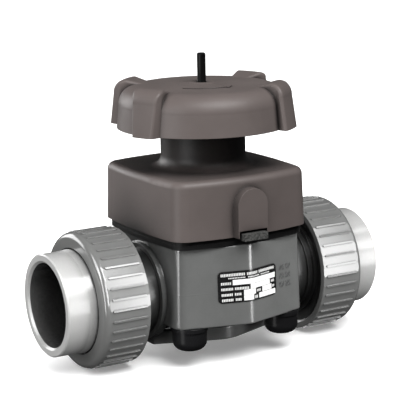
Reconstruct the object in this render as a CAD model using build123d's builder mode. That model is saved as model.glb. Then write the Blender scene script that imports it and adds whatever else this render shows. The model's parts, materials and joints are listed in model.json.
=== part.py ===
from build123d import *
from math import cos, hypot, radians, sin
import os

os.makedirs("parts", exist_ok=True)

# ---------------------------------------------------------------- driving dimensions, in mm
# Frame: the pipe runs along X, the front of the valve faces -Y, Z is up, and Z = 0 is the
# surface that the two union nuts rest on. The valve is modelled fully open.

axis_z = 49.6  # pipe axis above the surface
half_length = 130.0  # valve centre to the mouth of each socket
flow_r = 25.0  # DN50 flow bore

# Body block: eight-sided in plan, with a shallow ridge down its front and back.
block_bottom = axis_z - 19.2
block_top = axis_z + 38.6
block_side = 55.0  # half width at the middle of each end face
block_corner = (52.6, 50.2)
block_ridge = 64.6  # half depth at the ridge
block_corner_r = 9.0
block_ridge_r = 12.0
block_side_r = 80.0
block_taper = 1.8  # degrees, narrower at the top
bolt_x, bolt_y = 38.7, 42.0

# Weir passage, closed by the diaphragm from above.
weir_top = axis_z + 10.0
weir_crest_half = 5.0
weir_foot_half = 21.0
saddle_r = 34.5
saddle_half = 32.0
flow_opening_r = 32.5  # round opening of the clamped diaphragm edge

# Necks, union faces and threads, measured from the valve centre along X.
neck_r = 31.0
disc_r, disc_from_x, disc_x = 35.5, 50.0, 56.3
step_1_r, step_1_x = 33.2, 69.5
step_2_r, step_2_x = 36.2, 73.0
thread_start_x = 75.2
union_face_x = 88.0
thread_pitch = 4.0
thread_crest_r, thread_root_r = 44.4, 42.9
oring_r, oring_section_r = 36.0, 2.55

# Union nuts.
nut_back_x, nut_front_x = 72.8, 108.0
nut_facet_r, nut_rib_r = 48.8, 49.6
nut_rib_count = 40
nut_rib_width, nut_rib_from_x, nut_rib_to_x = 1.5, 75.4, 102.2
nut_front_round = 4.7
nut_lip_r, nut_lip_x = 37.6, 104.5
nut_chamber_r = 42.7
nut_thread_crest_r, nut_thread_root_r = 43.2, 44.75
rib_phase_left, rib_phase_right = 6.0, 8.5  # degrees, where each nut stopped when tightened

# End connectors: a flange held by the nut and a socket for 2-inch pipe.
socket_r, socket_depth = 30.15, 38.0
connector_r = 36.6
connector_flange_r, connector_flange_x = 42.3, 104.2
connector_shoulder_r = 37.3
shoulder_from_x, shoulder_to_x = 109.0, 113.5

# Plinth with its mounting inserts.
plinth_bottom, plinth_top = axis_z - 38.0, axis_z - 28.8
plinth_end = (53.0, 14.0)
plinth_middle = 34.0
insert_x = 22.5
insert_r, insert_bore_r, insert_depth = 5.5, 4.0, 8.0

# Diaphragm edge between body and bonnet, in two layers.
cushion_bottom = axis_z + 41.6
bonnet_bottom = axis_z + 44.9
edge_inset = 2.6
web_thickness = 4.0
web_underside = axis_z + 31.0
web_flat_r = 17.0
tab_half, tab_front = 9.5, 71.4
tab_bottom, tab_top = axis_z + 43.2, axis_z + 48.1
tab_depth = 12.8

# Bonnet.
bonnet_top = axis_z + 86.8
bonnet_half = (58.1, 62.2)  # at the middle of each side
bonnet_bow = (4.0, 7.6)  # how far each side bows outwards
bonnet_corner_r = 13.0
bonnet_taper = 1.9
bonnet_edge_round = 5.0
pad_r, pad_front, pad_centre_z, pad_taper = 12.1, 67.4, axis_z + 67.1, -5
notch_half, notch_top, notch_depth = 11.3, axis_z + 49.8, 9.2
cavity_half, cavity_top = (31.0, 34.0), axis_z + 80.0
bolt_insert_bottom, bolt_insert_top, bolt_insert_r = axis_z + 50.0, axis_z + 69.0, 7.5
bonnet_neck_r, bonnet_neck_top, neck_foot_round = 30.9, axis_z + 118.0, 8.0
neck_bore_r, neck_floor = 20.2, axis_z + 93.0

# Bolts, washers and caps under the block.
bolt_r, bolt_hole_r, bolt_top = 5.0, 5.5, axis_z + 66.0
bolt_head_r, bolt_head_height = 9.6, 6.4
washer_r, washer_thickness = 10.2, 2.0
cap_r, cap_bore_r, cap_bottom, cap_round = 12.3, 10.5, axis_z - 36.4, 6.5
cap_flange_r, cap_flange_height = 13.1, 3.0

# Stem bush, its bearing and the spindle. The spindle does not turn; the bush does.
bush_r, bush_hole_r, bush_bottom, bush_top = 13.8, 14.2, axis_z + 84.0, axis_z + 139.5
bush_collar_r, bush_collar_bottom, bush_collar_top = 19.6, axis_z + 95.4, axis_z + 101.0
washer_gap = 0.3
thrust_washer_thickness = 2.1
bearing_ring_height = 8.4
bearing_outer_r = 20.1
seal_section_r = 1.8
spindle_r, spindle_root_r, spindle_bore_in_bush_r = 9.0, 7.7, 9.3
spindle_bottom, spindle_top = axis_z + 52.0, axis_z + 137.0
spindle_thread_pitch = 4.0
indicator_r, indicator_bottom, indicator_top = 3.15, axis_z + 127.0, axis_z + 167.8

# Compressor, guided by the bonnet's cavity.
compressor_half = (14.0, 26.0)
compressor_arc_r = 30.5
compressor_bottom = axis_z + 35.3
compressor_plate_half = (30.4, 22.0)
compressor_plate_bottom, compressor_plate_top = axis_z + 66.0, axis_z + 72.0
cross_pin_r, cross_pin_z = 2.5, axis_z + 60.0
stud_r = 4.0

# Handwheel.
wheel_bottom = axis_z + 115.4
wheel_shoulder = axis_z + 144.8  # top face at the start of the rim's rounding
wheel_crown = axis_z + 146.7
wheel_rim_r, wheel_rim_top_r, wheel_flat_r = 62.2, 60.6, 47.8
wheel_round_z = axis_z + 131.5  # where the rim's rounding starts
wheel_wall = 4.5
hub_r, hub_bottom, hub_seat = 24.0, axis_z + 119.5, axis_z + 136.8
hub_cap_r, hub_cap_ledge_r, hub_cap_ledge = 18.0, 16.9, axis_z + 141.5
lobe_foot_r, lobe_root_r = 60.5, 40.0
lobe_bottom_r, lobe_top_r = 69.4, 65.6
lobe_peak, lobe_round, lobe_edge_round = axis_z + 148.3, 10.0, 2.2
lobe_root_z = axis_z + 144.4  # where the lobe's top dives under the crown
lobe_pair_axis = 165.5  # degrees from +X to the middle of the left pair
# Degrees from the pair axis. The steep flank's crest differs between the two lobes of a pair.
lobe_steep_foot, lobe_steep_crests = 46.3, (42.9, 48.5)
lobe_corner, lobe_soft = 29.5, 22.0
spoke_count, spoke_thickness, spoke_bottom = 8, 3.0, axis_z + 122.0
arrow_r, arrow_width, arrow_raise = 28.0, 2.6, 0.6
arrow_from, arrow_to, arrow_head = 212.0, 276.0, 14.0  # degrees from +X

# Key and retaining ring that hold the handwheel on the stem bush.
key_width, key_inner_r, key_outer_r = 5.0, 11.3, 16.3
key_bottom, key_top = axis_z + 121.0, axis_z + 135.0
ring_inner_r, ring_outer_r, ring_thickness, ring_gap = 12.6, 16.4, 1.5, 5.0

# Rating label on the front ridge.
label_half, label_bottom, label_top = 24.3, axis_z - 2.3, axis_z + 20.3
label_x, label_corner_r, label_thickness = 0.5, 3.0, 0.4

# ---------------------------------------------------------------- planes and helpers

pipe_plane = Plane(origin=(0, 0, axis_z), x_dir=(1, 0, 0), z_dir=(0, -1, 0))
pipe_axis = Axis((0, 0, axis_z), (1, 0, 0))
# Across the pipe: local x is up and local y is towards the front, so angles run up to front.
across_pipe = Plane(origin=(0, 0, axis_z), x_dir=(0, 0, 1), z_dir=(1, 0, 0))
stem_plane = Plane.XZ
bolt_spots = [(x, y) for x in (-bolt_x, bolt_x) for y in (-bolt_y, bolt_y)]


def polar(radius, degrees):
    """A point in plan at this radius and angle from +X."""
    return (radius * cos(radians(degrees)), radius * sin(radians(degrees)))


def closed_face(points):
    """Fill the closed outline through the points, in the sketch being built."""
    with BuildLine() as outline:
        Polyline(*points, close=True)
    make_face(outline.edges())


def ring_profile(inner, outer, bottom, top):
    """A rectangle in the stem plane: the section of a ring about Z."""
    closed_face([(inner, bottom), (outer, bottom), (outer, top), (inner, top)])


def block_outline():
    """Plan of the body block at its bottom."""
    corner_x, corner_y = block_corner
    closed_face([
        (block_side, 0), (corner_x, corner_y), (0, block_ridge), (-corner_x, corner_y),
        (-block_side, 0), (-corner_x, -corner_y), (0, -block_ridge), (corner_x, -corner_y),
    ])
    corners = [v for v in vertices() if abs(v.X) > 1 and abs(v.Y) > 1]
    fillet(corners, block_corner_r)
    fillet([v for v in vertices() if abs(v.X) < 1e-3], block_ridge_r)
    fillet([v for v in vertices() if abs(v.Y) < 1e-3 and abs(v.X) > 1], block_side_r)


def bonnet_outline(inset=0.0):
    """Plan of the bonnet at its bottom, made smaller all round by the inset."""
    half_x, half_y = bonnet_half[0] - inset, bonnet_half[1] - inset
    corner_x, corner_y = half_x - bonnet_bow[0], half_y - bonnet_bow[1]
    with BuildLine() as outline:
        ThreePointArc((corner_x, -corner_y), (half_x, 0), (corner_x, corner_y))
        ThreePointArc((corner_x, corner_y), (0, half_y), (-corner_x, corner_y))
        ThreePointArc((-corner_x, corner_y), (-half_x, 0), (-corner_x, -corner_y))
        ThreePointArc((-corner_x, -corner_y), (0, -half_y), (corner_x, -corner_y))
    make_face(outline.edges())
    fillet(vertices(), bonnet_corner_r - inset)


def ridge_teeth(first_x, count, crest_r, root_r, crest_half, root_half):
    """Thread ridges along X as (x, r) points, from a root line to crests and back."""
    points = []
    for index in range(count):
        middle = first_x + index * thread_pitch
        points += [(middle - root_half, root_r), (middle - crest_half, crest_r)]
        points += [(middle + crest_half, crest_r), (middle + root_half, root_r)]
    return points


# ---------------------------------------------------------------- valve body

with BuildPart() as valve_body:
    with BuildSketch(Plane.XY.offset(block_bottom)):
        block_outline()
    extrude(amount=block_top - block_bottom, taper=block_taper)
    ends = faces().sort_by(Axis.Z)
    fillet(ends[0].edges() + ends[-1].edges(), 1.0)
    with Locations(pipe_plane.location):
        Cylinder(neck_r, 2 * disc_x, rotation=(0, 90, 0))
    for side in (1, -1):
        with BuildSketch(Plane.YZ.offset(side * disc_x)):
            with Locations((0, axis_z)):
                Circle(disc_r)
        extrude(amount=-side * (disc_x - disc_from_x))
    with BuildSketch(Plane.XY.offset(plinth_bottom)):
        end_x, end_y = plinth_end
        closed_face([
            (end_x, end_y), (0, plinth_middle), (-end_x, end_y),
            (-end_x, -end_y), (0, -plinth_middle), (end_x, -end_y),
        ])
        fillet([v for v in vertices() if abs(v.X) < 1], 25)
        fillet([v for v in vertices() if abs(v.X) > 50], 1.5)
    extrude(amount=plinth_top - plinth_bottom)
    # Flow bore through the block, less the weir left standing across its middle.
    with BuildPart(mode=Mode.PRIVATE) as passage:
        with Locations(pipe_plane.location):
            Cylinder(flow_r, 2 * disc_x, rotation=(0, 90, 0))
        with BuildSketch(pipe_plane):
            closed_face([
                (-weir_foot_half, -flow_r), (-weir_crest_half, flow_r),
                (weir_crest_half, flow_r), (weir_foot_half, -flow_r),
            ])
        extrude(amount=2 * flow_r, both=True, mode=Mode.SUBTRACT)
        # Saddle that the closed diaphragm seats on, open to the round mouth above.
        with BuildPart(mode=Mode.PRIVATE) as saddle:
            with Locations((0, 0, weir_top + saddle_r)):
                Cylinder(saddle_r, 2 * saddle_half, rotation=(0, 90, 0))
            with BuildSketch(Plane.XY.offset(axis_z - flow_r)):
                Circle(flow_opening_r)
            extrude(amount=block_top - axis_z + flow_r + 1, mode=Mode.INTERSECT)
        add(saddle.part)
    add(passage.part, mode=Mode.SUBTRACT)
    with BuildSketch(Plane.XY.offset(block_bottom)):
        with Locations(*bolt_spots):
            Circle(bolt_hole_r)
    extrude(amount=block_top - block_bottom, mode=Mode.SUBTRACT)
    with BuildSketch(Plane.XY.offset(plinth_bottom)):
        with Locations((-insert_x, 0), (insert_x, 0)):
            Circle(insert_r)
    extrude(amount=insert_depth, mode=Mode.SUBTRACT)
valve_body.part.label = "valve_body"
export_step(valve_body.part, "parts/valve_body.step")

with BuildPart() as mounting_inserts:
    with BuildSketch(Plane.XY.offset(plinth_bottom)):
        with Locations((-insert_x, 0), (insert_x, 0)):
            Circle(insert_r)
            Circle(insert_bore_r, mode=Mode.SUBTRACT)
    extrude(amount=insert_depth)
mounting_inserts.part.label = "mounting_inserts"
export_step(mounting_inserts.part, "parts/mounting_inserts.step")

# ---------------------------------------------------------------- unions, one at each end

body_end_section = [
    (disc_x, flow_r), (disc_x, neck_r), (step_1_x, neck_r), (step_1_x, step_1_r),
    (step_2_x, step_1_r), (step_2_x, step_2_r), (thread_start_x, step_2_r),
    (thread_start_x, thread_root_r),
]
body_end_section += ridge_teeth(77.5, 3, thread_crest_r, thread_root_r, 0.5, 1.1)
body_end_section += [(union_face_x, thread_root_r), (union_face_x, flow_r)]

nut_section = [
    (nut_back_x, nut_thread_root_r), (nut_back_x, nut_facet_r - 0.5),
    (nut_back_x + 0.8, nut_rib_r + 0.1), (nut_front_x - nut_front_round, nut_rib_r + 0.1),
    (nut_front_x - nut_front_round, nut_facet_r),
]
nut_inside = [
    (nut_front_x, nut_lip_r + 0.5), (nut_front_x - 0.5, nut_lip_r), (nut_lip_x, nut_lip_r),
    (nut_lip_x, nut_chamber_r), (union_face_x + 0.8, nut_chamber_r),
    (union_face_x + 0.4, nut_thread_root_r),
]
nut_inside += ridge_teeth(75.5, 3, nut_thread_crest_r, nut_thread_root_r, 0.45, 1.05)[::-1]

for name, side, rib_phase in (("right", 1, rib_phase_right), ("left", -1, rib_phase_left)):
    # The body's own threaded end, moulded in one with the block.
    with BuildPart() as body_end:
        with BuildSketch(pipe_plane):
            closed_face([(side * x, r) for x, r in body_end_section])
        revolve(axis=pipe_axis)
        with BuildSketch(Plane.YZ.offset(side * union_face_x)):
            with Locations((0, axis_z)):
                Circle(oring_r + oring_section_r + 0.25)
                Circle(oring_r - oring_section_r - 0.25, mode=Mode.SUBTRACT)
        extrude(amount=-side * 2 * oring_section_r, mode=Mode.SUBTRACT)
    body_end.part.label = f"body_end_{name}"
    export_step(body_end.part, f"parts/body_end_{name}.step")

    with BuildPart() as nut_rib:
        with BuildSketch(Plane.YZ.offset(nut_rib_r - 1.4)):
            SlotOverall(nut_rib_to_x - nut_rib_from_x, nut_rib_width, rotation=90)
        extrude(amount=1.4)

    with BuildPart() as union_nut:
        rib_step = 360 / nut_rib_count
        with BuildSketch(across_pipe.offset(nut_back_x)):
            closed_face([
                polar(nut_facet_r, rib_phase + index * rib_step) for index in range(nut_rib_count)
            ])
        extrude(amount=nut_front_x - nut_back_x)
        rib_plane = across_pipe.offset((nut_rib_from_x + nut_rib_to_x) / 2)
        with Locations(rib_plane.location):
            with PolarLocations(0, nut_rib_count, start_angle=rib_phase):
                add(nut_rib.part)
        with BuildSketch(pipe_plane):
            with BuildLine():
                outer = Polyline(*nut_section)
                nose = RadiusArc(outer @ 1, (nut_front_x, nut_facet_r - nut_front_round), nut_front_round)
                inner = Polyline(nose @ 1, *nut_inside, outer @ 0)
            make_face()
        revolve(axis=pipe_axis, mode=Mode.INTERSECT)
        if side < 0:
            mirror(about=Plane.YZ, mode=Mode.REPLACE)
    union_nut.part.label = f"union_nut_{name}"
    export_step(union_nut.part, f"parts/union_nut_{name}.step")

    with BuildPart() as end_connector:
        with BuildSketch(pipe_plane):
            socket_floor_x = half_length - socket_depth
            points = [
                (union_face_x, flow_r), (union_face_x, connector_flange_r),
                (connector_flange_x, connector_flange_r), (connector_flange_x, connector_shoulder_r),
                (shoulder_from_x, connector_shoulder_r), (shoulder_to_x, connector_r),
                (half_length - 0.8, connector_r), (half_length, connector_r - 0.8),
                (half_length, socket_r + 1.6), (half_length - 1.6, socket_r),
                (socket_floor_x, socket_r), (socket_floor_x, flow_r),
            ]
            closed_face([(side * x, r) for x, r in points])
        revolve(axis=pipe_axis)
    end_connector.part.label = f"end_connector_{name}"
    export_step(end_connector.part, f"parts/end_connector_{name}.step")

    with BuildPart() as union_oring:
        with BuildSketch(pipe_plane):
            with Locations((side * (union_face_x - oring_section_r), oring_r)):
                Circle(oring_section_r - 0.02)
        revolve(axis=pipe_axis)
    union_oring.part.label = f"union_oring_{name}"
    export_step(union_oring.part, f"parts/union_oring_{name}.step")

# ---------------------------------------------------------------- diaphragm

with BuildPart() as diaphragm:
    with BuildSketch(Plane.XY.offset(block_top)):
        bonnet_outline(edge_inset)
        Circle(flow_opening_r, mode=Mode.SUBTRACT)
        with Locations(*bolt_spots):
            Circle(bolt_hole_r, mode=Mode.SUBTRACT)
    extrude(amount=cushion_bottom - block_top)
diaphragm.part.label = "diaphragm"
export_step(diaphragm.part, "parts/diaphragm.step")

with BuildPart() as diaphragm_cushion:
    with BuildSketch(Plane.XY.offset(cushion_bottom)):
        bonnet_outline(edge_inset)
        Circle(flow_opening_r, mode=Mode.SUBTRACT)
        with Locations(*bolt_spots):
            Circle(bolt_hole_r, mode=Mode.SUBTRACT)
    extrude(amount=bonnet_bottom - cushion_bottom)
    for side in (-1, 1):
        with Locations((0, side * (tab_front - tab_depth / 2), (tab_bottom + tab_top) / 2)):
            Box(2 * tab_half, tab_depth, tab_top - tab_bottom)
diaphragm_cushion.part.label = "diaphragm_cushion"
export_step(diaphragm_cushion.part, "parts/diaphragm_cushion.step")

with BuildPart() as diaphragm_web:
    with BuildSketch(stem_plane):
        web_r = flow_opening_r - 0.05
        closed_face([
            (stud_r, web_underside), (web_flat_r - 2, web_underside), (29.5, block_top),
            (web_r, block_top), (web_r, block_top + web_thickness),
            (28.5, block_top + web_thickness), (web_flat_r, web_underside + web_thickness),
            (stud_r, web_underside + web_thickness),
        ])
    revolve(axis=Axis.Z)
diaphragm_web.part.label = "diaphragm_web"
export_step(diaphragm_web.part, "parts/diaphragm_web.step")

with BuildPart() as diaphragm_stud:
    with BuildSketch(stem_plane):
        stud_bottom, stud_top = web_underside + 1.5, compressor_bottom + 12
        closed_face([
            (0, stud_bottom), (stud_r - 0.1, stud_bottom), (stud_r - 0.1, stud_top - 1),
            (stud_r - 1, stud_top), (0, stud_top),
        ])
    revolve(axis=Axis.Z)
diaphragm_stud.part.label = "diaphragm_stud"
export_step(diaphragm_stud.part, "parts/diaphragm_stud.step")

# ---------------------------------------------------------------- bonnet

with BuildPart() as bonnet:
    with BuildSketch(Plane.XY.offset(bonnet_bottom)):
        bonnet_outline()
    extrude(amount=bonnet_top - bonnet_bottom, taper=bonnet_taper)
    fillet(faces().sort_by(Axis.Z)[-1].edges(), bonnet_edge_round)
    # Arched pads on the front and the back, with a notch each for the diaphragm's tab.
    for front in (Plane.XZ, Plane.XZ.rotated((0, 0, 180))):
        with BuildPart(mode=Mode.PRIVATE) as pad:
            with BuildSketch(front.offset(pad_front)):
                with Locations((0, pad_centre_z)):
                    Circle(pad_r)
                with Locations((0, pad_centre_z - 15)):
                    Rectangle(2 * pad_r, 30)
            extrude(amount=-12, taper=pad_taper)
            split(bisect_by=Plane.XY.offset(bonnet_bottom), keep=Keep.TOP)
        add(pad.part)
    with BuildSketch(Plane.XY.offset(bonnet_top - 1)):
        Circle(bonnet_neck_r)
    extrude(amount=bonnet_neck_top - bonnet_top + 1)
    neck_foot = edges().filter_by(GeomType.CIRCLE).filter_by(
        lambda e: abs(e.radius - bonnet_neck_r) < 0.01 and abs(e.center().Z - bonnet_top) < 0.01
    )
    fillet(neck_foot, neck_foot_round)
    with BuildSketch(Plane.XY.offset(bonnet_bottom)):
        RectangleRounded(2 * cavity_half[0], 2 * cavity_half[1], 10)
    extrude(amount=cavity_top - bonnet_bottom, mode=Mode.SUBTRACT)
    with BuildSketch(stem_plane):
        seal_floor = neck_floor - 6
        closed_face([
            (0, cavity_top - 1), (bush_hole_r, cavity_top - 1), (bush_hole_r, seal_floor),
            (bush_hole_r + 3.3, seal_floor), (bush_hole_r + 3.3, seal_floor + 4),
            (bush_hole_r, seal_floor + 4), (bush_hole_r, neck_floor), (neck_bore_r, neck_floor),
            (neck_bore_r, bonnet_neck_top + 1), (0, bonnet_neck_top + 1),
        ])
    revolve(axis=Axis.Z, mode=Mode.SUBTRACT)
    notch_size = (2 * notch_half, 2 * notch_depth, notch_top - bonnet_bottom)
    for side in (-1, 1):
        with Locations((0, side * pad_front, (bonnet_bottom + notch_top) / 2)):
            Box(*notch_size, mode=Mode.SUBTRACT)
    with BuildSketch(Plane.XY.offset(bonnet_bottom)):
        with Locations(*bolt_spots):
            Circle(bolt_hole_r)
    extrude(amount=bolt_insert_bottom - bonnet_bottom, mode=Mode.SUBTRACT)
    with BuildSketch(Plane.XY.offset(bolt_insert_bottom)):
        with Locations(*bolt_spots):
            Circle(bolt_insert_r)
    extrude(amount=bolt_insert_top - bolt_insert_bottom, mode=Mode.SUBTRACT)
bonnet.part.label = "bonnet"
export_step(bonnet.part, "parts/bonnet.step")

with BuildPart() as bonnet_inserts:
    with BuildSketch(Plane.XY.offset(bolt_insert_bottom)):
        with Locations(*bolt_spots):
            Circle(bolt_insert_r)
            Circle(bolt_r, mode=Mode.SUBTRACT)
    extrude(amount=bolt_insert_top - bolt_insert_bottom)
bonnet_inserts.part.label = "bonnet_inserts"
export_step(bonnet_inserts.part, "parts/bonnet_inserts.step")

# ---------------------------------------------------------------- body bolts and their caps

with BuildPart() as body_bolts:
    head_top = block_bottom - washer_thickness
    with BuildSketch(Plane.XY.offset(head_top - bolt_head_height)):
        with Locations(*bolt_spots):
            RegularPolygon(bolt_head_r, 6)
    extrude(amount=bolt_head_height)
    with BuildSketch(Plane.XY.offset(head_top - 1)):
        with Locations(*bolt_spots):
            Circle(bolt_r)
    extrude(amount=bolt_top - head_top + 1)
body_bolts.part.label = "body_bolts"
export_step(body_bolts.part, "parts/body_bolts.step")

with BuildPart() as bolt_washers:
    with BuildSketch(Plane.XY.offset(block_bottom - washer_thickness)):
        with Locations(*bolt_spots):
            Circle(washer_r)
            Circle(bolt_hole_r, mode=Mode.SUBTRACT)
    extrude(amount=washer_thickness)
bolt_washers.part.label = "bolt_washers"
export_step(bolt_washers.part, "parts/bolt_washers.step")

with BuildPart() as bolt_caps:
    with BuildSketch(Plane.XY.offset(cap_bottom)):
        with Locations(*bolt_spots):
            Circle(cap_r)
    extrude(amount=block_bottom - cap_bottom)
    fillet(edges().group_by(Axis.Z)[0], cap_round)
    with BuildSketch(Plane.XY.offset(block_bottom)):
        with Locations(*bolt_spots):
            Circle(cap_flange_r)
    extrude(amount=-cap_flange_height)
    with BuildSketch(Plane.XY.offset(block_bottom)):
        with Locations(*bolt_spots):
            Circle(cap_bore_r)
    extrude(amount=-(washer_thickness + bolt_head_height + 2), mode=Mode.SUBTRACT)
bolt_caps.part.label = "bolt_caps"
export_step(bolt_caps.part, "parts/bolt_caps.step")

# ---------------------------------------------------------------- rating label

with BuildPart() as rating_label:
    label_middle = (label_top + label_bottom) / 2
    with BuildSketch(Plane.XZ.offset(block_ridge - 14)):
        with Locations((label_x, label_middle)):
            RectangleRounded(2 * label_half, label_top - label_bottom, label_corner_r)
    extrude(amount=20)
    with BuildPart(mode=Mode.PRIVATE) as label_bed:
        with BuildSketch(Plane.XY.offset(block_bottom)):
            block_outline()
        extrude(amount=block_top - block_bottom, taper=block_taper)
    with BuildPart(mode=Mode.PRIVATE) as label_skin:
        with BuildSketch(Plane.XY.offset(block_bottom)):
            block_outline()
            offset(amount=label_thickness, kind=Kind.ARC)
        extrude(amount=block_top - block_bottom, taper=block_taper)
    add(label_skin.part, mode=Mode.INTERSECT)
    add(label_bed.part, mode=Mode.SUBTRACT)
rating_label.part.label = "rating_label"
export_step(rating_label.part, "parts/rating_label.step")

# ---------------------------------------------------------------- compressor and spindle

with BuildPart() as compressor:
    half_x, half_y = compressor_half
    arc_centre = compressor_bottom + compressor_arc_r
    with BuildSketch(Plane.YZ):
        with BuildLine():
            side_z = arc_centre - (compressor_arc_r**2 - half_y**2) ** 0.5
            ThreePointArc((-half_y, side_z), (0, compressor_bottom), (half_y, side_z))
            Polyline(
                (half_y, side_z), (half_y, compressor_plate_bottom),
                (-half_y, compressor_plate_bottom), (-half_y, side_z),
            )
        make_face()
    extrude(amount=half_x, both=True)
    with BuildSketch(Plane.XY.offset(compressor_plate_bottom)):
        RectangleRounded(2 * compressor_plate_half[0], 2 * compressor_plate_half[1], 6)
    extrude(amount=compressor_plate_top - compressor_plate_bottom)
    with BuildSketch(Plane.XY.offset(spindle_bottom)):
        Circle(spindle_r)
    extrude(amount=compressor_plate_top - spindle_bottom, mode=Mode.SUBTRACT)
    with Locations((0, 0, cross_pin_z)):
        Cylinder(cross_pin_r, 2 * half_y, rotation=(90, 0, 0), mode=Mode.SUBTRACT)
    with BuildSketch(Plane.XY.offset(compressor_bottom)):
        Circle(stud_r)
    extrude(amount=13, mode=Mode.SUBTRACT)
compressor.part.label = "compressor"
export_step(compressor.part, "parts/compressor.step")

with BuildPart() as compressor_pin:
    with Locations((0, 0, cross_pin_z)):
        Cylinder(cross_pin_r, 2 * compressor_half[1] - 2, rotation=(90, 0, 0))
compressor_pin.part.label = "compressor_pin"
export_step(compressor_pin.part, "parts/compressor_pin.step")

with BuildPart() as spindle:
    with BuildSketch(stem_plane):
        points = [(0, spindle_bottom), (spindle_r, spindle_bottom), (spindle_r, axis_z + 80)]
        ridge_z = axis_z + 80
        while ridge_z + spindle_thread_pitch < spindle_top:
            points += [(spindle_root_r, ridge_z + 0.5), (spindle_root_r, ridge_z + 2)]
            points += [(spindle_r, ridge_z + 2.5), (spindle_r, ridge_z + spindle_thread_pitch)]
            ridge_z += spindle_thread_pitch
        points += [(spindle_r, spindle_top - 0.8), (spindle_r - 0.8, spindle_top)]
        points += [(indicator_r, spindle_top), (indicator_r, indicator_bottom), (0, indicator_bottom)]
        closed_face(points)
    revolve(axis=Axis.Z)
    with Locations((0, 0, cross_pin_z)):
        Cylinder(cross_pin_r, 2 * compressor_half[1], rotation=(90, 0, 0), mode=Mode.SUBTRACT)
spindle.part.label = "spindle"
export_step(spindle.part, "parts/spindle.step")

with BuildPart() as indicator_stem:
    with BuildSketch(stem_plane):
        closed_face([
            (0, indicator_bottom), (indicator_r, indicator_bottom),
            (indicator_r, indicator_top - 0.8), (indicator_r - 0.8, indicator_top),
            (0, indicator_top),
        ])
    revolve(axis=Axis.Z)
indicator_stem.part.label = "indicator_stem"
export_step(indicator_stem.part, "parts/indicator_stem.step")

# ---------------------------------------------------------------- stem bush and its bearing

key_place = ((key_inner_r + key_outer_r) / 2, 0, (key_bottom + key_top) / 2)
key_size = (key_outer_r - key_inner_r, key_width, key_top - key_bottom)

with BuildPart() as stem_bush:
    with BuildSketch(stem_plane):
        closed_face([
            (spindle_bore_in_bush_r, bush_bottom), (bush_r - 1, bush_bottom),
            (bush_r, bush_bottom + 1), (bush_r, bush_collar_bottom),
            (bush_collar_r, bush_collar_bottom), (bush_collar_r, bush_collar_top),
            (bush_r, bush_collar_top), (bush_r, hub_seat),
            (ring_inner_r, hub_seat), (ring_inner_r, hub_seat + ring_thickness),
            (bush_r, hub_seat + ring_thickness), (bush_r, bush_top),
            (spindle_bore_in_bush_r, bush_top),
        ])
    revolve(axis=Axis.Z)
    with Locations(key_place):
        Box(*key_size, mode=Mode.SUBTRACT)
stem_bush.part.label = "stem_bush"
export_step(stem_bush.part, "parts/stem_bush.step")

with BuildPart() as handwheel_key:
    with Locations(key_place):
        Box(*key_size)
handwheel_key.part.label = "handwheel_key"
export_step(handwheel_key.part, "parts/handwheel_key.step")

lower_washer_bottom = neck_floor
upper_washer_bottom = bush_collar_top + washer_gap
for name, bottom in (("lower", lower_washer_bottom), ("upper", upper_washer_bottom)):
    with BuildPart() as thrust_washer:
        with BuildSketch(stem_plane):
            ring_profile(bush_hole_r, bearing_outer_r, bottom, bottom + thrust_washer_thickness)
        revolve(axis=Axis.Z)
    thrust_washer.part.label = f"thrust_washer_{name}"
    export_step(thrust_washer.part, f"parts/thrust_washer_{name}.step")

with BuildPart() as bearing_ring:
    ring_bottom = upper_washer_bottom + thrust_washer_thickness
    with BuildSketch(stem_plane):
        ring_profile(bush_hole_r, neck_bore_r, ring_bottom, ring_bottom + bearing_ring_height)
    revolve(axis=Axis.Z)
    # Four pin-wrench holes in its top face.
    with BuildSketch(Plane.XY.offset(ring_bottom + bearing_ring_height)):
        with PolarLocations((bush_hole_r + neck_bore_r) / 2, 4):
            Circle(1.5)
    extrude(amount=-4, mode=Mode.SUBTRACT)
bearing_ring.part.label = "bearing_ring"
export_step(bearing_ring.part, "parts/bearing_ring.step")

with BuildPart() as bush_seal:
    with BuildSketch(stem_plane):
        with Locations((bush_r + 0.05 + seal_section_r, neck_floor - 4)):
            Circle(seal_section_r)
    revolve(axis=Axis.Z)
bush_seal.part.label = "bush_seal"
export_step(bush_seal.part, "parts/bush_seal.step")

# ---------------------------------------------------------------- handwheel

def lobe_plan(mirrored):
    """Plan of one grip lobe of the left pair: steep towards the wide gap, soft the other way."""
    sign = -1 if mirrored else 1
    foot = lobe_pair_axis + sign * lobe_steep_foot
    crest = lobe_pair_axis + sign * lobe_steep_crests[mirrored]
    corner = lobe_pair_axis + sign * lobe_corner
    soft = lobe_pair_axis + sign * lobe_soft
    outside = lobe_bottom_r + 1
    points = [polar(lobe_root_r, foot - sign * 2), polar(lobe_foot_r, foot), polar(outside, crest)]
    points += [polar(outside + 2, (crest + corner) / 2), polar(outside, corner)]
    points += [polar(lobe_foot_r, soft), polar(lobe_root_r, soft + sign * 3)]
    closed_face(points if mirrored else points[::-1])


def is_lobe_edge(edge):
    """The edges of a lobe's flanks, which are all that is rounded, clear of its root and foot."""
    middle = edge.center()
    outside_root = hypot(middle.X, middle.Y) > lobe_root_r + 2
    return edge.geom_type != GeomType.CIRCLE and outside_root and middle.Z > wheel_bottom + 1


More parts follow.
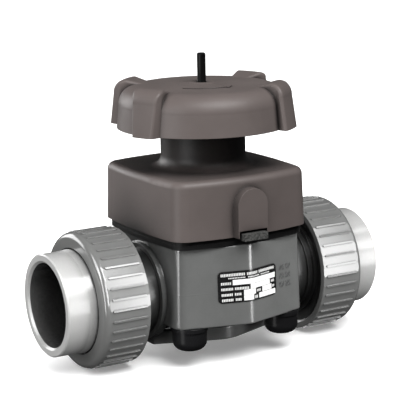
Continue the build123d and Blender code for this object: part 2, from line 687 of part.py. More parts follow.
with BuildPart() as handwheel:
    with BuildSketch(stem_plane):
        with BuildLine():
            Polyline((0, wheel_bottom), (wheel_rim_r, wheel_bottom), (wheel_rim_top_r, wheel_round_z))
            EllipticalCenterArc(
                (wheel_flat_r, wheel_round_z),
                wheel_rim_top_r - wheel_flat_r, wheel_shoulder - wheel_round_z, arc_size=90,
            )
            Polyline((wheel_flat_r, wheel_shoulder), (0, wheel_crown), (0, wheel_bottom))
        make_face()
    revolve(axis=Axis.Z)
    # Two pairs of grip lobes, each cut from a larger copy of the rim.
    for turn in (0, 180):
        for mirrored in (False, True):
            with BuildPart(mode=Mode.PRIVATE) as lobe:
                with BuildSketch(stem_plane):
                    with BuildLine():
                        round_r, round_z = lobe_top_r - lobe_round, lobe_peak - lobe_round
                        Polyline((0, wheel_bottom), (lobe_bottom_r, wheel_bottom), (lobe_top_r, round_z))
                        EllipticalCenterArc((round_r, round_z), lobe_round, lobe_round, arc_size=90)
                        Polyline(
                            (round_r, lobe_peak), (lobe_root_r, lobe_root_z),
                            (0, lobe_root_z), (0, wheel_bottom),
                        )
                    make_face()
                revolve(axis=Axis.Z)
                with BuildSketch(Plane.XY.offset(wheel_bottom)):
                    lobe_plan(mirrored)
                extrude(amount=wheel_crown - wheel_bottom + 10, mode=Mode.INTERSECT)
                fillet(edges().filter_by(is_lobe_edge), lobe_edge_round)
            with Locations(Location((0, 0, 0), (0, 0, turn))):
                add(lobe.part)
    # Raised turning arrow on the top face.
    with BuildPart(mode=Mode.PRIVATE) as arrow:
        with BuildSketch(stem_plane):
            fall = (wheel_crown - wheel_shoulder) / wheel_flat_r
            low_r, high_r = arrow_r - 2 * arrow_width, arrow_r + 2 * arrow_width
            low_z, high_z = wheel_crown - fall * high_r, wheel_crown - fall * low_r
            closed_face([
                (low_r, high_z - 1), (high_r, low_z - 1),
                (high_r, low_z + arrow_raise), (low_r, high_z + arrow_raise),
            ])
        revolve(axis=Axis.Z)
        with BuildSketch(Plane.XY.offset(wheel_shoulder - 2)):
            inner, outer = arrow_r - arrow_width / 2, arrow_r + arrow_width / 2
            steps = [arrow_from + index * (arrow_to - arrow_from) / 16 for index in range(17)]
            closed_face(
                [polar(inner, angle) for angle in steps]
                + [polar(inner - arrow_width, arrow_to), polar(arrow_r, arrow_to + arrow_head)]
                + [polar(outer + arrow_width, arrow_to)]
                + [polar(outer, angle) for angle in reversed(steps)]
            )
        extrude(amount=8, mode=Mode.INTERSECT)
    add(arrow.part)
    # Hollow underside between hub and rim, crossed by the spokes.
    with BuildPart(mode=Mode.PRIVATE) as hollow:
        with BuildSketch(stem_plane):
            inside_top = wheel_shoulder - wheel_wall
            closed_face([
                (hub_r, wheel_bottom - 1), (wheel_rim_r - wheel_wall, wheel_bottom - 1),
                (wheel_rim_top_r - wheel_wall, wheel_round_z), (wheel_flat_r, inside_top - 1),
                (hub_r, inside_top),
            ])
        revolve(axis=Axis.Z)
        with BuildSketch(Plane.XY.offset(spoke_bottom)):
            with PolarLocations((hub_r + wheel_rim_r) / 2, spoke_count, start_angle=22.5):
                Rectangle(wheel_rim_r - hub_r + 4, spoke_thickness)
        extrude(amount=wheel_crown - spoke_bottom, mode=Mode.SUBTRACT)
    add(hollow.part, mode=Mode.SUBTRACT)
    with BuildSketch(stem_plane):
        closed_face([
            (0, wheel_bottom - 1), (hub_r + 1, wheel_bottom - 1), (hub_r + 1, hub_bottom),
            (bush_r, hub_bottom), (bush_r, hub_seat), (hub_cap_ledge_r, hub_seat),
            (hub_cap_ledge_r, hub_cap_ledge), (hub_cap_r, hub_cap_ledge),
            (hub_cap_r, wheel_crown + 1), (0, wheel_crown + 1),
        ])
    revolve(axis=Axis.Z, mode=Mode.SUBTRACT)
    with Locations(key_place):
        Box(*key_size, mode=Mode.SUBTRACT)
handwheel.part.label = "handwheel"
export_step(handwheel.part, "parts/handwheel.step")

with BuildPart() as retaining_ring:
    with BuildSketch(Plane.XY.offset(hub_seat)):
        Circle(ring_outer_r)
        Circle(ring_inner_r, mode=Mode.SUBTRACT)
        with Locations((0, -ring_outer_r)):
            Rectangle(ring_gap, ring_outer_r, mode=Mode.SUBTRACT)
    extrude(amount=ring_thickness)
retaining_ring.part.label = "retaining_ring"
export_step(retaining_ring.part, "parts/retaining_ring.step")

with BuildPart() as hub_cap:
    with BuildSketch(stem_plane):
        cap_hole_r, seal_pocket_r = indicator_r + 0.3, indicator_r + 2.6
        closed_face([
            (seal_pocket_r, hub_cap_ledge), (hub_cap_r - 0.02, hub_cap_ledge),
            (hub_cap_r - 0.02, wheel_crown - 0.7), (10, wheel_crown - 0.4),
            (9, wheel_crown + 0.1), (cap_hole_r + 0.4, wheel_crown + 0.1),
            (cap_hole_r, wheel_crown - 0.3), (cap_hole_r, hub_cap_ledge + 2.6),
            (seal_pocket_r, hub_cap_ledge + 2.6),
        ])
    revolve(axis=Axis.Z)
hub_cap.part.label = "hub_cap"
export_step(hub_cap.part, "parts/hub_cap.step")

with BuildPart() as indicator_seal:
    with BuildSketch(stem_plane):
        with Locations((indicator_r + 0.08 + 1.2, hub_cap_ledge + 1.35)):
            Circle(1.2)
    revolve(axis=Axis.Z)
indicator_seal.part.label = "indicator_seal"
export_step(indicator_seal.part, "parts/indicator_seal.step")
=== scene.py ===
"""Looks for a 2-inch plastic diaphragm valve: materials, label print, small trim, lights and camera."""

import json
import math

import bmesh
import bpy
from mathutils import Matrix, Vector
from mathutils.bvhtree import BVHTree


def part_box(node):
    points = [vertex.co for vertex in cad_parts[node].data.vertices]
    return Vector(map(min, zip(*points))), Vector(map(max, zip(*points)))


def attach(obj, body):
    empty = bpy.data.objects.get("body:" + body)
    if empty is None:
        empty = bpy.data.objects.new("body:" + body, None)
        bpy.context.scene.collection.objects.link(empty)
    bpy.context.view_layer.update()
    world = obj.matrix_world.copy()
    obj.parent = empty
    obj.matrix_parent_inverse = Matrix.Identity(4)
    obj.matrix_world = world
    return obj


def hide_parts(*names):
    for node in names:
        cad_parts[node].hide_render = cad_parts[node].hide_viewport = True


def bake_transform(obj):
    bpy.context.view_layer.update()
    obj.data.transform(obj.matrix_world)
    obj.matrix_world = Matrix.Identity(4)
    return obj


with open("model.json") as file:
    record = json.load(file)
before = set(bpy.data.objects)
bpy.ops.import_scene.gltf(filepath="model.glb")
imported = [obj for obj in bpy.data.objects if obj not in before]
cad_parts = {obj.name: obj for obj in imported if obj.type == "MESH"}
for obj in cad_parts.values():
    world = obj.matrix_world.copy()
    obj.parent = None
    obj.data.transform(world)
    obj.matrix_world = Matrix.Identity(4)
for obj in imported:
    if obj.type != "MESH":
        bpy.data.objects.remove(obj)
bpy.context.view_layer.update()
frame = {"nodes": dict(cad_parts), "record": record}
nodes = frame["nodes"]
MM = 0.001
PIPE_Z = (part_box("end_connector_left")[0].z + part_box("end_connector_left")[1].z) / 2


# ---------------------------------------------------------------- camera

VIEW_AZIMUTH = -30.36  # degrees from the front, towards the near end of the pipe
VIEW_ELEVATION = 12.02
VIEW_ROLL = -1.17
VIEW_DISTANCE = 1.1574
VIEW_TARGET = Vector((-0.0034, 0.0, 0.1095))
LENS = 142.4
SENSOR = 36.0


def add_camera():
    azimuth, elevation, roll = (
        math.radians(a) for a in (VIEW_AZIMUTH, VIEW_ELEVATION, VIEW_ROLL)
    )
    back = Vector((
        math.sin(azimuth) * math.cos(elevation),
        -math.cos(azimuth) * math.cos(elevation),
        math.sin(elevation),
    ))
    right = (-back).cross(Vector((0, 0, 1))).normalized()
    up = right.cross(-back)
    side = math.cos(roll) * right + math.sin(roll) * up
    top = -math.sin(roll) * right + math.cos(roll) * up
    data = bpy.data.cameras.new("camera")
    data.lens, data.sensor_width = LENS, SENSOR
    data.clip_start, data.clip_end = 0.05, 50
    camera = bpy.data.objects.new("camera", data)
    place = Matrix((side, top, back)).transposed().to_4x4()
    place.translation = VIEW_TARGET + back * VIEW_DISTANCE
    camera.matrix_world = place
    bpy.context.collection.objects.link(camera)
    bpy.context.scene.camera = camera


# ---------------------------------------------------------------- node helpers


def node(tree, kind, inputs=None, **settings):
    """Adds a shader node; an input that is a socket is linked, anything else is set."""
    made = tree.nodes.new(kind)
    for key, value in settings.items():
        setattr(made, key, value)
    for key, value in (inputs or {}).items():
        socket = made.inputs[key]
        if isinstance(value, bpy.types.NodeSocket):
            tree.links.new(value, socket)
        else:
            socket.default_value = value
    return made


def place(tree, scale):
    """Position in the object's frame, in metres, stretched by the scale."""
    position = node(tree, "ShaderNodeTexCoord").outputs["Object"]
    return node(tree, "ShaderNodeMapping", {"Vector": position, "Scale": scale}).outputs[0]


def noise(tree, scale, detail=3.0, rough=0.5):
    """Noise with about this many cells per metre along X, Y and Z."""
    scale = scale if isinstance(scale, tuple) else (scale, scale, scale)
    made = node(
        tree,
        "ShaderNodeTexNoise",
        {
            "Vector": place(tree, scale),
            "Scale": 1.0,
            "Detail": detail,
            "Roughness": rough,
        },
    )
    return made.outputs[0]


def spread(tree, value, low, high, start=0.3, end=0.7):
    """The value, which runs from start to end, mapped to low and high."""
    return node(
        tree,
        "ShaderNodeMapRange",
        {"Value": value, "From Min": start, "From Max": end, "To Min": low, "To Max": high},
    ).outputs[0]


def local_axis(tree, axis):
    """The shaded point's X, Y or Z in the object's frame, in metres."""
    position = node(tree, "ShaderNodeTexCoord").outputs["Object"]
    return node(tree, "ShaderNodeSeparateXYZ", {0: position}).outputs[axis]


def absolute(tree, value):
    return node(tree, "ShaderNodeMath", {0: value}, operation="ABSOLUTE").outputs[0]


def math_node(tree, operation, a, b):
    return node(tree, "ShaderNodeMath", {0: a, 1: b}, operation=operation).outputs[0]


def blend_colors(tree, factor, a, b):
    made = node(tree, "ShaderNodeMix", {0: factor, 6: a, 7: b}, data_type="RGBA")
    return made.outputs[2]


def rgb(color, gain=1.0):
    return tuple(min(c * gain, 1.0) for c in color) + (1.0,)


def new_material(name):
    material = bpy.data.materials.new(name)
    material.use_nodes = True
    tree = material.node_tree
    tree.nodes.clear()
    output = node(tree, "ShaderNodeOutputMaterial")
    shader = node(tree, "ShaderNodeBsdfPrincipled")
    tree.links.new(shader.outputs[0], output.inputs["Surface"])
    return material, tree, shader


# How much darker the flecks and how much paler the rubbed edges are than the finish itself; the paler
# edges are partly wear and partly a painted highlight.
FLECK_GAIN, RUBBED_AND_HIGHLIGHT_GAIN = 0.55, 2.2
PLASTIC_IOR = 1.5


def surface(
    name,
    color,
    swing=0.06,
    patch=35,
    rough=(0.25, 0.32),
    grain=1400,
    grain_depth=0.02,
    streak=None,
    streak_depth=0.0,
    edge=0.3,
    edge_wear_and_highlight=0.0,
    metallic=0.0,
    specular=0.5,
    painted_hollow_shade=None,
    extra_height=None,
    extra_tone=None,
):
    """A moulded or turned finish: patchy colour and gloss, fine grain, streaks and softened edges.

    patch, grain and streak are cells per metre; grain_depth, streak_depth and edge are in
    millimetres. The painted shade in hollows and corners is given as the reach looked over, in
    millimetres, and the share of the tone kept in the deepest ones; it darkens the colour by how
    closed in a place is.
    """
    material, tree, shader = new_material(name)
    patches = noise(tree, patch, detail=4, rough=0.6)
    fine = noise(tree, grain, detail=2, rough=0.6)
    tone = blend_colors(
        tree,
        spread(tree, patches, 0.0, 1.0),
        rgb(color, 1 - swing),
        rgb(color, 1 + swing),
    )
    flecks = spread(tree, fine, 0.0, swing * 1.4, 0.35, 0.75)
    tone = blend_colors(tree, flecks, tone, rgb(color, FLECK_GAIN))
    softened = node(tree, "ShaderNodeBevel", {"Radius": edge * MM}, samples=6).outputs[0]
    if edge_wear_and_highlight:
        # Where the softened normal leaves the face's own, the edge is painted paler: partly rubbed
        # wear, partly a painted highlight that draws bright lines along the edges.
        true_normal = node(tree, "ShaderNodeNewGeometry").outputs["Normal"]
        close = node(
            tree, "ShaderNodeVectorMath", {0: softened, 1: true_normal}, operation="DOT_PRODUCT"
        ).outputs["Value"]
        rubbed = spread(tree, close, edge_wear_and_highlight, 0.0, 0.80, 0.995)
        scuffs = spread(tree, noise(tree, 420, detail=3), 0.2, 1.0)
        rubbed = math_node(tree, "MULTIPLY", rubbed, scuffs)
        tone = blend_colors(tree, rubbed, tone, rgb(color, RUBBED_AND_HIGHLIGHT_GAIN))
    if extra_tone:
        tone = extra_tone(tree, tone)
    # Painted shade: the colour darkens with ambient occlusion in hollows and corners, standing in for
    # shade the lamps don't give there.
    if painted_hollow_shade:
        reach, kept = painted_hollow_shade
        openness = node(
            tree, "ShaderNodeAmbientOcclusion", {"Distance": reach * MM}, samples=8
        ).outputs["AO"]
        dusk = spread(tree, openness, kept, 1.0, 0.45, 0.95)
        tone = blend_colors(tree, dusk, rgb((0, 0, 0)), tone)
    tree.links.new(tone, shader.inputs["Base Color"])
    gloss = math_node(
        tree,
        "ADD",
        spread(tree, patches, rough[0], rough[1]),
        spread(tree, fine, -0.02, 0.03),
    )
    tree.links.new(gloss, shader.inputs["Roughness"])
    height = math_node(tree, "MULTIPLY", fine, grain_depth)
    if streak:
        lines = noise(tree, streak, detail=3, rough=0.6)
        height = math_node(tree, "ADD", height, math_node(tree, "MULTIPLY", lines, streak_depth))
    if extra_height:
        height = math_node(tree, "ADD", height, extra_height(tree))
    bump = node(
        tree,
        "ShaderNodeBump",
        {"Strength": 1.0, "Distance": MM, "Height": height, "Normal": softened},
    ).outputs[0]
    tree.links.new(bump, shader.inputs["Normal"])
    shader.inputs["Metallic"].default_value = metallic
    shader.inputs["IOR"].default_value = PLASTIC_IOR
    shader.inputs["Specular IOR Level"].default_value = specular
    return material


# ---------------------------------------------------------------- materials

PVC_BODY = (0.118, 0.120, 0.118)
PVC_NUT = (0.112, 0.113, 0.111)
PVC_CONNECTOR = (0.34, 0.34, 0.335)
BROWN = (0.135, 0.113, 0.107)
RUBBER = (0.008, 0.008, 0.008)
TAB_DUST = (0.13, 0.13, 0.125)

PARTING_Z = PIPE_Z + 5.7 * MM
PARTING_HEIGHT, PARTING_REACH = 0.07, 0.35 * MM  # the height is in millimetres, as bump is
TAB_FROM, TAB_FULL = 66 * MM, 68 * MM  # the rubber beyond these depths is the tab


def parting_line(tree):
    """A hair-thin raised line round the body where the mould halves met."""
    gap = absolute(tree, math_node(tree, "SUBTRACT", local_axis(tree, "Z"), PARTING_Z))
    return spread(tree, gap, PARTING_HEIGHT, 0.0, 0.0, PARTING_REACH)


def dusty_tab(tree, tone):
    """The tab that stands out of the rubber edge is rubbed and dusty, unlike the edge itself."""
    depth = absolute(tree, local_axis(tree, "Y"))
    rubbed = spread(tree, depth, 0.0, 1.0, TAB_FROM, TAB_FULL)
    specks = spread(tree, noise(tree, 900, detail=3, rough=0.7), 0.15, 1.0, 0.35, 0.65)
    return blend_colors(tree, math_node(tree, "MULTIPLY", rubbed, specks), tone, rgb(TAB_DUST))


def make_materials():
    made = {}
    made["body_plastic"] = surface(
        "pvc_body", PVC_BODY, swing=0.09, specular=1.0, rough=(0.15, 0.21), grain=1700,
        grain_depth=0.006, streak=(650, 650, 12), streak_depth=0.022, edge=1.5, edge_wear_and_highlight=0.35,
        painted_hollow_shade=(2.0, 0.25), extra_height=parting_line,
    )
    # The threaded ends get painted shade at the neck, and their disc rims the strongest paler edges,
    # mostly painted highlight lines.
    made["thread_plastic"] = surface(
        "pvc_thread", PVC_BODY, swing=0.05, specular=0.8, rough=(0.28, 0.38), grain=1700,
        grain_depth=0.006, edge=0.55, edge_wear_and_highlight=1.0, painted_hollow_shade=(30, 0.12),
    )
    made["nut_plastic"] = surface(
        "pvc_nut", PVC_NUT, swing=0.05, specular=1.0, rough=(0.13, 0.18), grain=1700,
        grain_depth=0.005, streak=(14, 500, 500), streak_depth=0.006, edge=0.22, edge_wear_and_highlight=0.7,
        painted_hollow_shade=(1.6, 0.2),
    )
    # The sockets' insides get strong painted shade, nearly black.
    made["connector_plastic"] = surface(
        "pvc_connector", PVC_CONNECTOR, swing=0.04, specular=0.8, rough=(0.18, 0.25), grain=1500,
        grain_depth=0.005, streak=(900, 16, 16), streak_depth=0.010, edge=0.4, edge_wear_and_highlight=0.5,
        painted_hollow_shade=(90, 0.03),
    )
    # The neck and the bonnet's top under the handwheel get strong painted shade, nearly black.
    made["bonnet_plastic"] = surface(
        "bonnet_polypropylene", BROWN, swing=0.07, patch=28, rough=(0.42, 0.52), grain=1900,
        grain_depth=0.075, edge=0.6, edge_wear_and_highlight=0.25, painted_hollow_shade=(50, 0.02), specular=0.4,
    )
    made["wheel_plastic"] = surface(
        "wheel_polypropylene", BROWN, swing=0.07, patch=30, rough=(0.40, 0.50), grain=1900,
        grain_depth=0.075, edge=0.6, edge_wear_and_highlight=0.25, painted_hollow_shade=(5, 0.10), specular=0.35,
    )
    made["cap_plastic"] = surface(
        "cap_black", (0.012, 0.012, 0.013), swing=0.15, rough=(0.16, 0.26), grain=1500,
        grain_depth=0.012, edge=0.4, edge_wear_and_highlight=0.03,
    )
    made["stem_plastic"] = surface(
        "stem_black", (0.003, 0.003, 0.003), swing=0.2, rough=(0.30, 0.40), grain=1800,
        specular=0.2, grain_depth=0.01, streak=(900, 900, 30), streak_depth=0.01, edge=0.3,
    )
    made["compressor_plastic"] = surface(
        "compressor_grey", (0.05, 0.05, 0.055), rough=(0.35, 0.5), grain_depth=0.02,
    )
    made["diaphragm_rubber"] = surface(
        "diaphragm_rubber", RUBBER, swing=0.25, rough=(0.42, 0.55), grain=1300,
        grain_depth=0.05, edge=0.4, edge_wear_and_highlight=0.05, specular=0.25,
    )
    made["cushion_rubber"] = surface(
        "cushion_rubber", RUBBER, swing=0.45, patch=220, rough=(0.42, 0.6),
        grain=900, grain_depth=0.16, edge=0.5, edge_wear_and_highlight=0.10, specular=0.25, extra_tone=dusty_tab,
    )
    made["seal_rubber"] = surface(
        "seal_rubber", (0.014, 0.014, 0.014), swing=0.2, rough=(0.3, 0.4), grain_depth=0.01,
    )
    made["steel"] = surface(
        "turned_steel", (0.56, 0.56, 0.57), swing=0.05, rough=(0.22, 0.34), grain=1200,
        grain_depth=0.01, streak=(30, 30, 1200), streak_depth=0.015, metallic=1.0,
    )
    made["brass"] = surface(
        "turned_brass", (0.66, 0.47, 0.20), swing=0.08, rough=(0.22, 0.36), grain=1200,
        grain_depth=0.01, streak=(30, 30, 1200), streak_depth=0.012, metallic=1.0,
    )
    made["label"] = surface(
        "label_black", (0.008, 0.008, 0.008), swing=0.15, rough=(0.22, 0.30), grain=1600,
        grain_depth=0.006, edge=0.1,
    )
    made["label_white"] = surface(
        "label_white", (0.82, 0.82, 0.81), swing=0.03, rough=(0.30, 0.38), grain=1600,
        grain_depth=0.006, edge=0.05,
    )
    made["label_grey"] = surface(
        "label_grey", (0.70, 0.70, 0.69), swing=0.05, rough=(0.30, 0.38), grain=1600,
        grain_depth=0.006, edge=0.05,
    )
    return made


# ---------------------------------------------------------------- pieces


def mesh_object(name, material):
    """An empty mesh object with its material and slot."""
    mesh = bpy.data.meshes.new(name)
    made = bpy.data.objects.new(name, mesh)
    bpy.context.collection.objects.link(made)
    made.data.materials.append(material)
    return made


def surface_tree(name):
    """A lookup of the CAD node's surface."""
    data = nodes[name].data
    return BVHTree.FromPolygons(
        [v.co.copy() for v in data.vertices], [tuple(p.vertices) for p in data.polygons]
    )


OUT_IN_FRONT = -200 * MM  # well clear of the valve's front


def front_hit(tree, x, z):
    """The front surface at this x and z, seen from -Y: its point and normal."""
    point, normal, _, _ = tree.ray_cast(Vector((x, OUT_IN_FRONT, z)), Vector((0, 1, 0)))
    return point, normal


def finish_mesh(shape, made):
    """Puts the edited mesh on its object."""
    shape.to_mesh(made.data)
    shape.free()


# The label's blank fields and the bars that stand in for its lettering. Each is left, bottom,
# right, top as shares of the label's width and height.
LABEL_FIELDS = [
    (0.213, 0.560, 0.972, 0.725), (0.477, 0.392, 0.864, 0.552),
    (0.373, 0.210, 0.570, 0.384), (0.705, 0.216, 0.898, 0.384),
    (0.373, 0.040, 0.530, 0.202), (0.637, 0.040, 0.975, 0.202),
]
LABEL_BARS = [
    (0.040, 0.845, 0.400, 0.930), (0.425, 0.845, 0.615, 0.930), (0.640, 0.845, 0.960, 0.930),
    (0.150, 0.765, 0.405, 0.800), (0.440, 0.765, 0.650, 0.800), (0.680, 0.765, 0.860, 0.800),
    (0.042, 0.580, 0.195, 0.660), (0.042, 0.400, 0.222, 0.480), (0.243, 0.400, 0.455, 0.480),
    (0.046, 0.220, 0.214, 0.300), (0.240, 0.220, 0.340, 0.300), (0.050, 0.050, 0.222, 0.130),
    (0.250, 0.050, 0.340, 0.130), (0.890, 0.430, 0.960, 0.510), (0.592, 0.255, 0.678, 0.335),
    (0.915, 0.260, 0.960, 0.340), (0.555, 0.060, 0.612, 0.150),
]


def split_bar(bar, pitch=0.024, gap=0.3):
    """A bar cut into short blocks, the gap being a share of the pitch."""
    left, bottom, right, top = bar
    count = max(1, round((right - left) / pitch))
    step = (right - left) / count
    return [
        (left + k * step, bottom, left + (k + 1 - gap) * step, top) for k in range(count)
    ]


def add_print(name, material, fields, proud):
    """Thin raised film that follows the label's surface, one patch for each field."""
    low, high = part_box("rating_label")
    width, height = high.x - low.x, high.z - low.z
    tree = surface_tree("rating_label")
    made = mesh_object(name, material)
    shape = bmesh.new()
    step = 0.8 * MM
    for left, bottom, right, top in fields:
        x0, x1 = low.x + left * width, low.x + right * width
        z0, z1 = low.z + bottom * height, low.z + top * height
        across = max(1, math.ceil((x1 - x0) / step))
        up = max(1, math.ceil((z1 - z0) / (3 * step)))
        front, back = [], []
        for i in range(across + 1):
            x = x0 + (x1 - x0) * i / across
            hits = [front_hit(tree, x, z0 + (z1 - z0) * k / up) for k in range(up + 1)]
            front.append([shape.verts.new(point + normal * proud) for point, normal in hits])
            back.append([shape.verts.new(point - normal * proud) for point, normal in hits])
        for i in range(across):
            for k in range(up):
                shape.faces.new(
                    (front[i][k], front[i + 1][k], front[i + 1][k + 1], front[i][k + 1])
                )
                shape.faces.new((back[i][k], back[i][k + 1], back[i + 1][k + 1], back[i + 1][k]))
        for i in range(across):
            shape.faces.new((front[i][0], back[i][0], back[i + 1][0], front[i + 1][0]))
            shape.faces.new((front[i + 1][up], back[i + 1][up], back[i][up], front[i][up]))
        for k in range(up):
            shape.faces.new((front[0][k + 1], back[0][k + 1], back[0][k], front[0][k]))
            shape.faces.new(
                (front[across][k], back[across][k], back[across][k + 1], front[across][k + 1])
            )
    bmesh.ops.recalc_face_normals(shape, faces=shape.faces)
    finish_mesh(shape, made)
    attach(made, "valve")
    return made


def add_label_print(materials):
    """Blank white fields and broken grey bars on the black label."""
    bars = [block for bar in LABEL_BARS for block in split_bar(bar)]
    return [
        add_print("label_fields", materials["label_white"], LABEL_FIELDS, 0.06 * MM),
        add_print("label_bars", materials["label_grey"], bars, 0.05 * MM),
    ]


def add_stipple(materials):
    """Small moulded dots on the body beside the label, in two columns of three blocks."""
    low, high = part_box("rating_label")
    tree = surface_tree("valve_body")
    made = mesh_object("moulded_dots", materials["body_plastic"])
    shape = bmesh.new()
    dot_r, rise = 0.44 * MM, 0.85  # the rise is a share of the dot's radius
    pitch = 1.05 * MM
    blocks = [(column, row) for column in range(2) for row in range(3)]
    for column, row in blocks:
        left = high.x + (3.9 + 6.6 * column) * MM
        bottom = low.z + (3.8 + 6.4 * row) * MM
        for i in range(5):
            for k in range(4):
                # Every fourth dot is left out, in a different place in each block.
                if (i * 3 + k * 5 + column * 2 + row) % 4 == 0:
                    continue
                point, normal = front_hit(tree, left + i * pitch, bottom + k * pitch)
                turn = normal.to_track_quat("Z", "Y").to_matrix().to_4x4()
                turn.translation = point
                stretch = Matrix.Diagonal((1, 1, rise, 1))
                bmesh.ops.create_icosphere(
                    shape, subdivisions=2, radius=dot_r, matrix=turn @ stretch
                )
    for face in shape.faces:
        face.smooth = True
    finish_mesh(shape, made)
    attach(made, "valve")
    return made


def add_web(materials):
    """The flexing part of the diaphragm: a dished ring in sectors."""
    low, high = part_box("diaphragm_web")
    outer_r = high.x
    thickness = 3.2 * MM
    clamp_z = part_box("valve_body")[1].z
    # Underside as (radius, height above the lowest point), from the stud to the clamped edge.
    drop = clamp_z - low.z
    profile = [(4.0, 0.0), (8.0, 0.0), (12.0, 0.2), (15.0, 0.7), (17.0, 1.4), (19.0, 2.4),
               (21.0, 3.5), (23.0, 4.7), (25.0, 5.8), (27.0, 6.7), (29.0, 7.3), (30.6, 7.55)]
    points = [(r * MM, min(z * MM, drop)) for r, z in profile] + [(outer_r, drop)]
    sectors, per_sector = 8, 8
    for index in range(sectors):
        piece = mesh_object(
            f"diaphragm_web_{index + 1}", materials["diaphragm_rubber"]
        )
        shape = bmesh.new()
        middle = 2 * math.pi * index / sectors
        rows = []
        for k in range(per_sector + 1):
            angle = middle + 2 * math.pi / sectors * (k / per_sector - 0.5)
            under, over = [], []
            for r, rise in points:
                x, y = r * math.cos(angle), r * math.sin(angle)
                under.append(shape.verts.new((x, y, low.z + rise)))
                over.append(shape.verts.new((x, y, low.z + rise + thickness)))
            rows.append((under, over))
        for k in range(per_sector):
            (u0, o0), (u1, o1) = rows[k], rows[k + 1]
            for i in range(len(points) - 1):
                shape.faces.new((u0[i], u1[i], u1[i + 1], u0[i + 1]))
                shape.faces.new((o0[i], o0[i + 1], o1[i + 1], o1[i]))
            shape.faces.new((u0[0], o0[0], o1[0], u1[0]))
            shape.faces.new((u0[-1], u1[-1], o1[-1], o0[-1]))
        for under, over in (rows[0], rows[-1]):
            for i in range(len(points) - 1):
                shape.faces.new((under[i], under[i + 1], over[i + 1], over[i]))
        bmesh.ops.recalc_face_normals(shape, faces=shape.faces)
        for face in shape.faces:
            face.smooth = abs(face.normal.z) > 0.3
        finish_mesh(shape, piece)
        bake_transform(piece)
        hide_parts("diaphragm_web")


# ---------------------------------------------------------------- stage and lights

# Glow of the room below the floor's edge, just above it, and overhead.
ROOM_BELOW, ROOM_HORIZON, ROOM_TOP = 0.03, 0.08, 0.06
FLOOR_HALF = 7.0
PAPER_GLOW = 0.22
LIGHT_AIM = Vector((0, 0, 0.09))


def add_floor():
    mesh = bpy.data.meshes.new("floor")
    corners = [(x * FLOOR_HALF, y * FLOOR_HALF, 0) for x, y in ((-1, -1), (1, -1), (1, 1), (-1, 1))]
    mesh.from_pydata(corners, [], [(0, 1, 2, 3)])
    floor = bpy.data.objects.new("floor", mesh)
    bpy.context.collection.objects.link(floor)
    material, tree, shader = new_material("floor_paper")
    shade = blend_colors(tree, noise(tree, 3.0), rgb((0.93, 0.93, 0.93)), rgb((0.95, 0.95, 0.95)))
    tree.links.new(shade, shader.inputs["Base Color"])
    shader.inputs["Roughness"].default_value = 0.6
    shader.inputs["Specular IOR Level"].default_value = 0.1
    shader.inputs["Emission Color"].default_value = (1, 1, 1, 1)
    shader.inputs["Emission Strength"].default_value = PAPER_GLOW
    floor.data.materials.append(material)
    # The paper catches shadows but throws no light back, and lights below its level shine through.
    floor.visible_diffuse = False
    floor.visible_glossy = False
    floor.visible_shadow = False
    return floor


def softbox(name, azimuth, elevation, distance, width, height, radiance, onto=None):
    """An area light facing the valve. Azimuth is from the front, towards +X; radiance is in the
    picture's own units, where 1 is white. A light given a collection reaches only that."""
    azimuth, elevation = math.radians(azimuth), math.radians(elevation)
    out = Vector((
        math.sin(azimuth) * math.cos(elevation),
        -math.cos(azimuth) * math.cos(elevation),
        math.sin(elevation),
    ))
    data = bpy.data.lights.new(name, "AREA")
    data.shape = "RECTANGLE"
    data.size, data.size_y = width, height
    data.energy = radiance * math.pi * width * height
    light = bpy.data.objects.new(name, data)
    light.location = LIGHT_AIM + out * distance
    light.rotation_mode = "QUATERNION"
    light.rotation_quaternion = out.to_track_quat("Z", "Y")
    light.visible_camera = False
    bpy.context.collection.objects.link(light)
    if onto:
        light.light_linking.receiver_collection = onto


def add_world():
    world = bpy.data.worlds.new("studio")
    world.use_nodes = True
    tree = world.node_tree
    tree.nodes.clear()
    direction = node(tree, "ShaderNodeTexCoord").outputs["Generated"]
    height = node(tree, "ShaderNodeSeparateXYZ", {0: direction}).outputs["Z"]
    glow = math_node(
        tree,
        "ADD",
        spread(tree, height, ROOM_BELOW, ROOM_HORIZON, -0.20, 0.05),
        spread(tree, height, 0.0, ROOM_TOP - ROOM_HORIZON, 0.10, 0.60),
    )
    background = node(tree, "ShaderNodeBackground", {"Color": (1, 1, 1, 1), "Strength": glow})
    output = node(tree, "ShaderNodeOutputWorld")
    tree.links.new(background.outputs[0], output.inputs["Surface"])
    bpy.context.scene.world = world


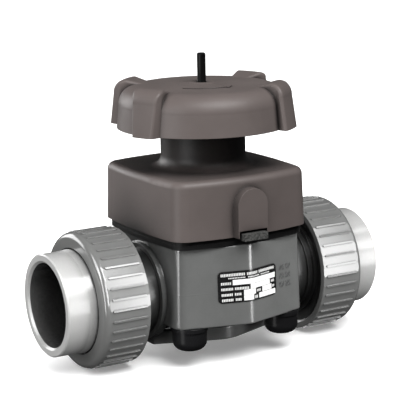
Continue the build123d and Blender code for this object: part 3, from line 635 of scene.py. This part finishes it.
def light_group(name, objects):
    """A collection for lights that reach only these objects."""
    made = bpy.data.collections.new(name)
    for each in objects:
        made.objects.link(each)
    return made


def add_lights(floor, grey_pieces, end_pieces):
    paper = light_group("paper", [floor])
    grey = light_group("grey_plastic", grey_pieces)
    ends = light_group("nuts_and_sockets", end_pieces)
    # The main light stands high in front, so that the handwheel shades the neck under it.
    softbox("front_top", 2, 50, 1.60, 1.15, 0.75, 11.5)
    softbox("left_strip", -76, 12, 2.00, 0.60, 1.90, 6.5)
    # Strips right of the front, reflected as bright bands by the nuts, sockets and body.
    softbox("strip_low", 30.5, -1, 2.00, 0.56, 0.92, 9.5, onto=grey)
    softbox("strip_middle", 35.5, 29, 2.00, 0.60, 0.86, 8.5, onto=grey)
    softbox("strip_high", 51, 52, 2.00, 0.80, 0.30, 8.5, onto=grey)
    # Light from the left for the nuts' rounded rims and the sockets' end faces.
    softbox("ring_light", -22, 16, 2.00, 0.80, 1.30, 8.5, onto=ends)
    softbox("left_fill", -88, 32, 2.00, 1.00, 1.00, 6.5, onto=ends)
    # A broad light from behind, so that the back and the far end aren't lost in the dark.
    softbox("back_light", 207, 14, 2.20, 1.60, 1.00, 5.0)
    softbox("paper_light", 180, 75, 3.00, 8.0, 8.0, 1.7, onto=paper)


# ---------------------------------------------------------------- build

add_camera()
materials = make_materials()
# The record's slot names the material, but the threaded ends get a duller one of their own.
slot_of = {part["node"]: part["material_slot"] for part in frame["record"]["subparts"]}
for name, cad in nodes.items():
    for slot in cad.material_slots:
        slot.material = materials[
            "thread_plastic" if name.startswith("body_end") else slot_of[name]
        ]
print_pieces = add_label_print(materials)
dots = add_stipple(materials)
add_web(materials)
floor = add_floor()
add_world()
end_slots = {"nut_plastic", "connector_plastic"}
end_pieces = [cad for name, cad in nodes.items() if slot_of[name] in end_slots]
body_pieces = [cad for name, cad in nodes.items() if slot_of[name] in {"body_plastic", "label"}]
add_lights(floor, end_pieces + body_pieces + print_pieces + [dots], end_pieces)
bpy.context.scene.view_settings.view_transform = "Standard"
